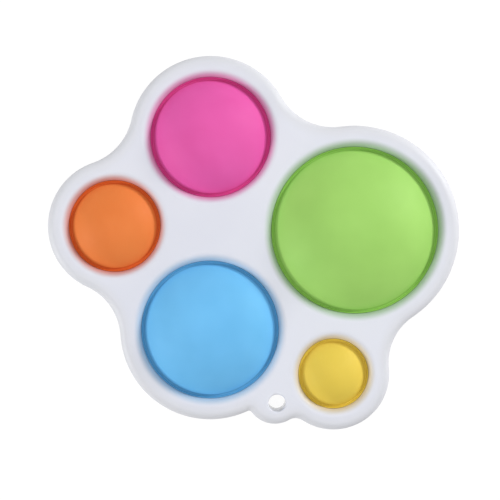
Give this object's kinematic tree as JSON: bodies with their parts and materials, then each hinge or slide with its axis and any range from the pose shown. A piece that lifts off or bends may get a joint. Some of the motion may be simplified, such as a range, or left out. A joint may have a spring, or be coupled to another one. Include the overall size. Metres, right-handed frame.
{
  "type": "bubble pop fidget toy",
  "caption": "Flat rounded white toy plate holding silicone bubbles of different sizes and colours, with a small key ring hole in a tab at its lower edge.",
  "frame": {"origin": "centre of the plate's outline box on its back face, which is the lowest plane", "axes": "+X to the right and +Y up as the front is seen with the key ring tab at the bottom, +Z out of the front, the way the bubbles bulge"},
  "size_m": [0.129, 0.1172, 0.0182],
  "materials": {
    "shell_white": "satin white ABS moulding",
    "silicone_pink": "satin pink silicone",
    "silicone_green": "satin green silicone",
    "silicone_yellow": "satin yellow silicone",
    "silicone_blue": "satin blue silicone",
    "silicone_orange": "satin orange silicone"
  },
  "bodies": {
    "root": {"front_shell": "shell_white", "back_shell": "shell_white", "pink_bubble": "silicone_pink", "green_bubble": "silicone_green", "yellow_bubble": "silicone_yellow", "blue_bubble": "silicone_blue", "orange_bubble": "silicone_orange"}
  },
  "joints": []
}
